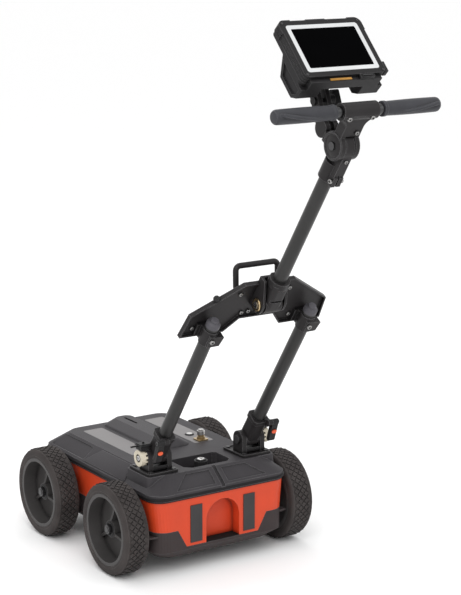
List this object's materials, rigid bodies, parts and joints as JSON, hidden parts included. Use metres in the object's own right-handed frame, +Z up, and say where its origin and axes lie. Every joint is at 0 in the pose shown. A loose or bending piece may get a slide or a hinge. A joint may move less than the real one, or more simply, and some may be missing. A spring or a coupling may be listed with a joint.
{
  "type": "ground radar survey cart",
  "caption": "Push cart for ground radar surveys: orange antenna housing on ribbed wheels, folding post frame, hinged mast with handlebar and a tablet on a ball arm.",
  "frame": {"origin": "on the floor under the middle of the bounding box", "axes": "+X to the cart's right, +Y forward, +Z up"},
  "size_m": [0.4856, 0.979, 1.2088],
  "materials": {
    "cover": "fine grain",
    "shell": "fine grain",
    "tray": "satin, scuffed",
    "panel": "satin",
    "spine": "fine grain",
    "black_metal": "black powder coat",
    "black_steel": "black oxide",
    "tube": "dark satin coat",
    "black_plastic": "satin",
    "steel": "brushed",
    "brass": "turned",
    "tyre": "dull",
    "rim": "moulded",
    "nylon": "satin",
    "orange_tab": "satin",
    "alloy": "polished, dark",
    "grip": "dull",
    "bezel": "satin",
    "screen": "gloss",
    "case": "matt",
    "board": "satin",
    "battery": "satin",
    "shield": "plain"
  },
  "bodies": {
    "chassis": {"skid_tray": "tray", "antenna_housing": "shell", "top_cover": "cover", "deck_panels": "panel", "spine_cover": "spine", "accessory_post": "black_plastic", "data_connector": "brass", "connector_cap": "steel", "left_foot": "black_metal", "right_foot": "black_metal", "chassis_fasteners": "black_steel", "axle_studs": "black_steel", "axle_sleeves": "nylon", "fold_pins": "black_steel", "lock_blocks": "black_plastic", "battery_pack": "battery", "circuit_boards": "board", "antenna_shields": "shield"},
    "button": {"power_button": "steel"},
    "wheel_fl": {"tyre_fl": "tyre", "rim_fl": "rim"},
    "wheel_fr": {"tyre_fr": "tyre", "rim_fr": "rim"},
    "wheel_rl": {"tyre_rl": "tyre", "rim_rl": "rim"},
    "wheel_rr": {"tyre_rr": "tyre", "rim_rr": "rim"},
    "handle_frame": {"left_socket": "black_metal", "right_socket": "black_metal", "left_post": "tube", "right_post": "tube", "yoke_plate": "black_metal", "post_clamps": "black_metal", "clamp_bolts": "steel", "grab_handle": "black_metal", "mast_clevis": "black_metal", "mast_pin": "steel", "lock_washers": "brass"},
    "left_lock": {"left_lock_wheel": "nylon"},
    "right_lock": {"right_lock_wheel": "nylon"},
    "left_release": {"left_lever": "black_plastic", "left_lever_tab": "orange_tab"},
    "right_release": {"right_lever": "black_plastic", "right_lever_tab": "orange_tab"},
    "mast": {"mast_socket": "black_metal", "mast_tube": "tube", "mast_cap": "black_metal"},
    "bar": {"bar_clamp": "black_metal", "bar_cap": "black_metal", "handlebar": "alloy", "left_grip": "grip", "right_grip": "grip", "base_ball": "black_metal", "tilt_pin": "black_steel"},
    "arm": {"tablet_arm": "black_metal"},
    "knob": {"arm_knob": "black_plastic"},
    "tablet": {"tablet_cradle": "black_plastic", "tablet_case": "case", "tablet_bezel": "bezel", "tablet_screen": "screen"}
  },
  "joints": [
    {"name": "spin_fl", "type": "hinge", "parent": "chassis", "child": "wheel_fl", "pos_m": [-0.2145, 0.38786, 0.1016], "axis": [1, 0, 0], "continuous": true},
    {"name": "spin_fr", "type": "hinge", "parent": "chassis", "child": "wheel_fr", "pos_m": [0.2145, 0.38786, 0.1016], "axis": [1, 0, 0], "continuous": true},
    {"name": "spin_rl", "type": "hinge", "parent": "chassis", "child": "wheel_rl", "pos_m": [-0.2145, 0.08436, 0.1016], "axis": [1, 0, 0], "continuous": true},
    {"name": "spin_rr", "type": "hinge", "parent": "chassis", "child": "wheel_rr", "pos_m": [0.2145, 0.08436, 0.1016], "axis": [1, 0, 0], "continuous": true},
    {"name": "handle_fold", "type": "hinge", "parent": "chassis", "child": "handle_frame", "pos_m": [0, 0.06711, 0.2542], "axis": [-1, 0, 0], "range_deg": [0, 115]},
    {"name": "left_lever_open", "type": "hinge", "parent": "handle_frame", "child": "left_release", "pos_m": [-0.1477, 0.00401, 0.30079], "axis": [-1, 0, 0], "range_deg": [0, 90]},
    {"name": "right_lever_open", "type": "hinge", "parent": "handle_frame", "child": "right_release", "pos_m": [0.1477, 0.00401, 0.30079], "axis": [-1, 0, 0], "range_deg": [0, 90]},
    {"name": "left_lock_slide", "type": "slide", "parent": "handle_frame", "child": "left_lock", "axis": [-1, 0, 0], "range_m": [0, 0.003]},
    {"name": "right_lock_slide", "type": "slide", "parent": "handle_frame", "child": "right_lock", "axis": [1, 0, 0], "range_m": [0, 0.003]},
    {"name": "mast_fold", "type": "hinge", "parent": "handle_frame", "child": "mast", "pos_m": [0, -0.18358, 0.62308], "axis": [1, 0, 0], "range_deg": [0, 125]},
    {"name": "bar_tilt", "type": "hinge", "parent": "mast", "child": "bar", "pos_m": [0, -0.42303, 0.97541], "axis": [1, 0, 0], "range_deg": [-25, 25]},
    {"name": "arm_tilt", "type": "hinge", "parent": "bar", "child": "arm", "pos_m": [0, -0.37529, 1.00302], "axis": [1, 0, 0], "range_deg": [-20, 20]},
    {"name": "knob_turn", "type": "hinge", "parent": "arm", "child": "knob", "pos_m": [0, -0.35469, 1.05402], "axis": [1, 0, 0], "continuous": true},
    {"name": "tablet_tilt", "type": "hinge", "parent": "arm", "child": "tablet", "pos_m": [0, -0.33408, 1.10501], "axis": [1, 0, 0], "range_deg": [-25, 25]},
    {"name": "button_press", "type": "slide", "parent": "chassis", "child": "button", "axis": [0, 0, -1], "range_m": [0, 0.0015], "stiffness_N_per_m": 400, "springref_m": -0.002}
  ],
  "couplings": [
    {"joint": "left_lock_slide", "follows": "left_lever_open", "m_per_rad": 0.0019099},
    {"joint": "right_lock_slide", "follows": "right_lever_open", "m_per_rad": 0.0019099}
  ]
}
